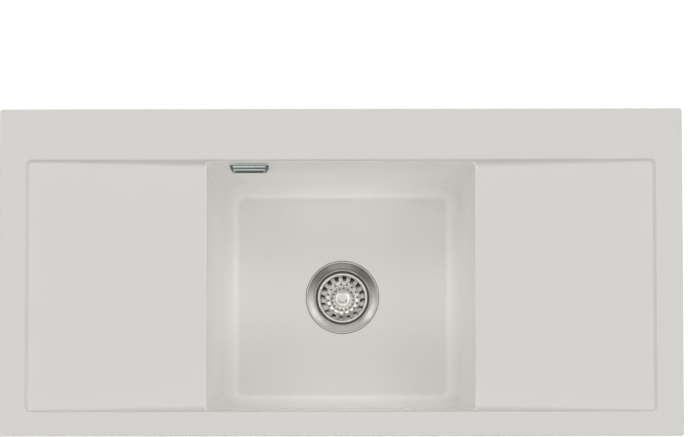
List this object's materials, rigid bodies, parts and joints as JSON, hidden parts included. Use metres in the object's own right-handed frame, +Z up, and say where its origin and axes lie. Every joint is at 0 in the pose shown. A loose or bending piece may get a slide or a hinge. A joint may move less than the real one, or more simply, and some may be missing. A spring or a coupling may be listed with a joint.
{
  "type": "kitchen sink with drainboards",
  "caption": "Inset fireclay kitchen sink: deep central bowl between two plain drainboards, basket strainer waste, wall overflow and worktop clamps.",
  "frame": {"origin": "on the worktop plane, under the middle of the front rim, in the middle of the rim seal's width", "axes": "+X to the right along the sink, +Y to the tap ledge at the rear, +Z up out of the bowl"},
  "size_m": [1.04, 0.5, 0.275],
  "materials": {
    "glaze": "satin gloss fireclay glaze, pale warm grey",
    "pressed_steel": "satin pressed stainless steel",
    "bright_steel": "polished chrome",
    "zinc_steel": "zinc plated",
    "white_plastic": "moulded polypropylene",
    "grey_plastic": "moulded nylon",
    "black_rubber": "matt rubber",
    "grey_foam": "soft sealing strip",
    "turned_brass": "turned brass"
  },
  "bodies": {
    "sink": {"sink_basin": "glaze", "rim_seal": "grey_foam", "waste_flange": "pressed_steel", "flange_gasket": "black_rubber", "under_gasket": "black_rubber", "waste_body": "white_plastic", "screw_insert": "turned_brass", "clamp_screw": "pressed_steel", "overflow_rosette": "bright_steel", "overflow_plate": "pressed_steel", "overflow_screw": "pressed_steel", "overflow_elbow": "white_plastic", "overflow_front_gasket": "black_rubber", "overflow_rear_gasket": "black_rubber", "overflow_pipe": "white_plastic", "overflow_nut_upper": "white_plastic", "overflow_nut_lower": "white_plastic", "overflow_seal_upper": "black_rubber", "overflow_seal_lower": "black_rubber", "fixing_dowels": "grey_plastic", "fixing_screws": "zinc_steel"},
    "basket_ring": {"basket_seal": "black_rubber"},
    "basket": {"basket_body": "pressed_steel", "basket_knob": "bright_steel", "basket_stem": "pressed_steel", "basket_clip": "grey_plastic"},
    "clamp_1": {"clamp_bracket_1": "zinc_steel"},
    "clamp_2": {"clamp_bracket_2": "zinc_steel"},
    "clamp_3": {"clamp_bracket_3": "zinc_steel"},
    "clamp_4": {"clamp_bracket_4": "zinc_steel"}
  },
  "joints": [
    {"name": "basket_lift", "type": "slide", "parent": "sink", "child": "basket_ring", "axis": [0, 0, 1], "range_m": [0, 0.26]},
    {"name": "basket_turn", "type": "hinge", "parent": "basket_ring", "child": "basket", "pos_m": [0, 0.2225, -0.19], "axis": [0, 0, 1], "continuous": true},
    {"name": "clamp_1_turn", "type": "hinge", "parent": "sink", "child": "clamp_1", "pos_m": [-0.33, 0.023, -0.05], "axis": [0, 0, 1], "range_deg": [-180, 0]},
    {"name": "clamp_2_turn", "type": "hinge", "parent": "sink", "child": "clamp_2", "pos_m": [0.33, 0.023, -0.05], "axis": [0, 0, 1], "range_deg": [0, 180]},
    {"name": "clamp_3_turn", "type": "hinge", "parent": "sink", "child": "clamp_3", "pos_m": [-0.33, 0.463, -0.05], "axis": [0, 0, 1], "range_deg": [0, 180]},
    {"name": "clamp_4_turn", "type": "hinge", "parent": "sink", "child": "clamp_4", "pos_m": [0.33, 0.463, -0.05], "axis": [0, 0, 1], "range_deg": [-180, 0]}
  ]
}
